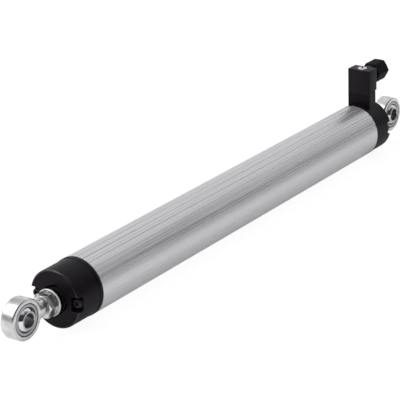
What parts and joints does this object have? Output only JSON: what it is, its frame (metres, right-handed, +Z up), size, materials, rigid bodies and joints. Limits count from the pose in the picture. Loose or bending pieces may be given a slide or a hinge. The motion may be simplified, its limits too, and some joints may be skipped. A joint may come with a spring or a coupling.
{
  "type": "linear potentiometer",
  "caption": "Cylindrical rod position transducer: a sliding rod in a grooved tube, a self-aligning eye at each end and a plug connector with a cable gland.",
  "frame": {"origin": "centre of the ball in the rear rod end", "axes": "+X along the tube towards the control rod, +Y along the bores of both eyes, +Z up to the plug connector; the rod is fully retracted"},
  "size_m": [0.4164, 0.0354, 0.0603],
  "materials": {
    "anodised_tube": "clear anodised extrusion with fine lengthwise grooves",
    "black_nylon": "moulded glass-filled nylon, faint sheen",
    "black_rubber": "moulded nitrile rubber",
    "zinc_steel": "bright zinc plated",
    "rod_steel": "ground and polished stainless rod",
    "ball_steel": "hardened, polished",
    "race_steel": "turned bearing ring",
    "black_oxide": "black oxide socket screws",
    "insert_brass": "turned brass",
    "bush_bronze": "sintered bronze",
    "board_green": "glass epoxy board",
    "carbon_track": "conductive plastic",
    "silver_track": "printed silver",
    "white_acetal": "moulded acetal",
    "contact_metal": "sprung precious metal alloy",
    "grey_insert": "moulded terminal block",
    "tin_plate": "tin plated",
    "wire_brown": "insulated wire",
    "wire_yellow": "insulated wire",
    "wire_blue": "insulated wire"
  },
  "bodies": {
    "housing": {"body_tube": "anodised_tube", "front_head": "black_nylon", "rear_head": "black_nylon", "front_gasket": "black_rubber", "rear_gasket": "black_rubber", "front_head_screws": "black_oxide", "rear_head_screws": "black_oxide", "rod_guide_bush": "bush_bronze", "rod_wiper_seal": "black_rubber", "front_buffer": "black_rubber", "rear_buffer": "black_rubber", "rear_thread_insert": "insert_brass", "rear_rod_end": "zinc_steel", "rear_race": "race_steel", "rear_lock_nut": "zinc_steel", "track_board": "board_green", "resistive_track": "carbon_track", "collector_track": "silver_track", "return_trace": "silver_track", "pin_carrier": "grey_insert", "contact_pins": "tin_plate", "flat_gasket": "black_rubber", "plug_housing": "black_nylon", "contact_insert": "grey_insert", "contact_sleeves": "tin_plate", "centre_screw": "zinc_steel", "gland_nut": "black_nylon", "gland_washer": "tin_plate", "gland_grommet": "black_rubber", "supply_wire": "wire_brown", "wiper_wire": "wire_yellow", "ground_wire": "wire_blue"},
    "carriage": {"wiper_carriage": "white_acetal", "wiper_contacts": "contact_metal", "wiper_screw": "zinc_steel"},
    "rod": {"control_rod": "rod_steel", "rod_washer": "zinc_steel", "rod_lock_nut": "zinc_steel", "front_rod_end": "zinc_steel", "front_race": "race_steel"},
    "front_swivel": {"front_ball": "ball_steel"},
    "rear_swivel": {"rear_ball": "ball_steel"}
  },
  "joints": [
    {"name": "rod_slide", "type": "slide", "parent": "housing", "child": "carriage", "axis": [1, 0, 0], "range_m": [0, 0.2548]},
    {"name": "rod_twist", "type": "hinge", "parent": "carriage", "child": "rod", "pos_m": [0.0776, 0, 0], "axis": [1, 0, 0], "continuous": true},
    {"name": "front_ball_tilt", "type": "hinge", "parent": "rod", "child": "front_swivel", "pos_m": [0.3924, 0, 0], "axis": [0, 0, 1], "range_deg": [-13, 13]},
    {"name": "rear_ball_tilt", "type": "hinge", "parent": "housing", "child": "rear_swivel", "pos_m": [0, 0, 0], "axis": [0, 0, 1], "range_deg": [-13, 13]}
  ]
}
